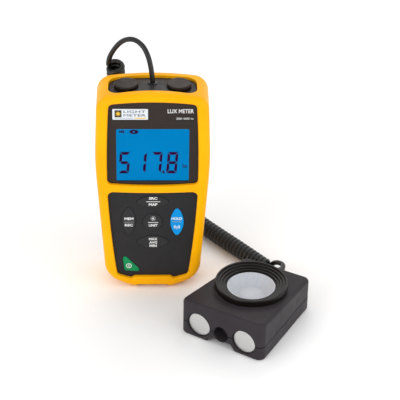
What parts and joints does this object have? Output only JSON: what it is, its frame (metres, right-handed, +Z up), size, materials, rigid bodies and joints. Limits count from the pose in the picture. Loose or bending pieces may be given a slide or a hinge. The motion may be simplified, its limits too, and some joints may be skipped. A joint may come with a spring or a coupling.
{
  "type": "light meter",
  "caption": "Upright hand-held light meter in a soft protective sheath, with a lit display and keys, and a separate dished sensor head on a curly cord.",
  "frame": {"origin": "centre of the meter's base, on the floor that the meter stands on and the sensor head lies on", "axes": "+Z up along the meter, -Y out of its display and keys, +X to the viewer's right; the sensor head lies at +X and -Y, its dished face up"},
  "size_m": [0.1496, 0.1832, 0.1833],
  "materials": {
    "sheath": "satin, fine grain",
    "case": "matte, fine grain",
    "bezel": "satin",
    "window": "clear, polished",
    "lcd": "gloss",
    "light_guide": "gloss",
    "white_plastic": "matte",
    "plate": "printed, satin",
    "keypad": "matte",
    "key_blue": "satin",
    "key_dark": "matte",
    "key_green": "satin",
    "board": "solder mask",
    "steel": "plated",
    "cell": "printed sleeve",
    "cap": "satin",
    "magnet": "satin",
    "sensor_case": "matte",
    "collar": "satin",
    "diffuser": "opal satin",
    "filter": "polished",
    "detector": "satin",
    "cord_rubber": "satin"
  },
  "bodies": {
    "housing": {"protective_sheath": "sheath", "front_shell": "case", "rear_shell": "case", "case_screws": "steel", "display_bezel": "bezel", "lcd_cover": "window", "lcd_panel": "lcd", "lcd_backlight": "light_guide", "lcd_holder": "white_plastic", "name_plate": "plate", "keypad_panel": "keypad", "main_board": "board", "switch_domes": "steel", "radio_can": "steel", "battery_left": "cell", "battery_middle": "cell", "battery_right": "cell", "battery_springs": "steel", "battery_contacts": "steel", "dock_cap_left": "cap", "dock_cap_right": "cap", "cord_grommet": "cord_rubber", "cord_tail_top": "cord_rubber", "cord_coil": "cord_rubber", "cord_tail_sensor": "cord_rubber"},
    "key_source": {"key_source": "key_dark"},
    "key_memory": {"key_memory": "key_dark"},
    "key_unit": {"key_unit": "key_dark"},
    "key_hold": {"key_hold": "key_blue"},
    "key_max": {"key_max": "key_dark"},
    "key_power": {"key_power": "key_green"},
    "battery_cover": {"battery_cover": "case", "cover_screw": "steel"},
    "sensor": {"sensor_upper_shell": "sensor_case", "sensor_lower_shell": "sensor_case", "sensor_screws": "steel", "sensor_collar": "collar", "diffuser": "diffuser", "optical_filter": "filter", "photodiode": "detector", "sensor_board": "board", "dock_magnet_left": "magnet", "dock_magnet_right": "magnet", "strain_relief": "cord_rubber"}
  },
  "joints": [
    {"name": "key_source_press", "type": "slide", "parent": "housing", "child": "key_source", "axis": [0, 1, 0], "range_m": [0, 0.0008], "stiffness_N_per_m": 1500, "springref_m": -0.0002},
    {"name": "key_memory_press", "type": "slide", "parent": "housing", "child": "key_memory", "axis": [0, 1, 0], "range_m": [0, 0.0008], "stiffness_N_per_m": 1500, "springref_m": -0.0002},
    {"name": "key_unit_press", "type": "slide", "parent": "housing", "child": "key_unit", "axis": [0, 1, 0], "range_m": [0, 0.0008], "stiffness_N_per_m": 1500, "springref_m": -0.0002},
    {"name": "key_hold_press", "type": "slide", "parent": "housing", "child": "key_hold", "axis": [0, 1, 0], "range_m": [0, 0.0008], "stiffness_N_per_m": 1500, "springref_m": -0.0002},
    {"name": "key_max_press", "type": "slide", "parent": "housing", "child": "key_max", "axis": [0, 1, 0], "range_m": [0, 0.0008], "stiffness_N_per_m": 1500, "springref_m": -0.0002},
    {"name": "key_power_press", "type": "slide", "parent": "housing", "child": "key_power", "axis": [0, 1, 0], "range_m": [0, 0.0008], "stiffness_N_per_m": 1500, "springref_m": -0.0002},
    {"name": "battery_cover_lift", "type": "slide", "parent": "housing", "child": "battery_cover", "axis": [0, 1, 0], "range_m": [0, 0.03]},
    {"name": "sensor_carry", "type": "slide", "parent": "housing", "child": "sensor", "axis": [0.829, -0.5592, 0], "range_m": [0, 0.08]}
  ]
}
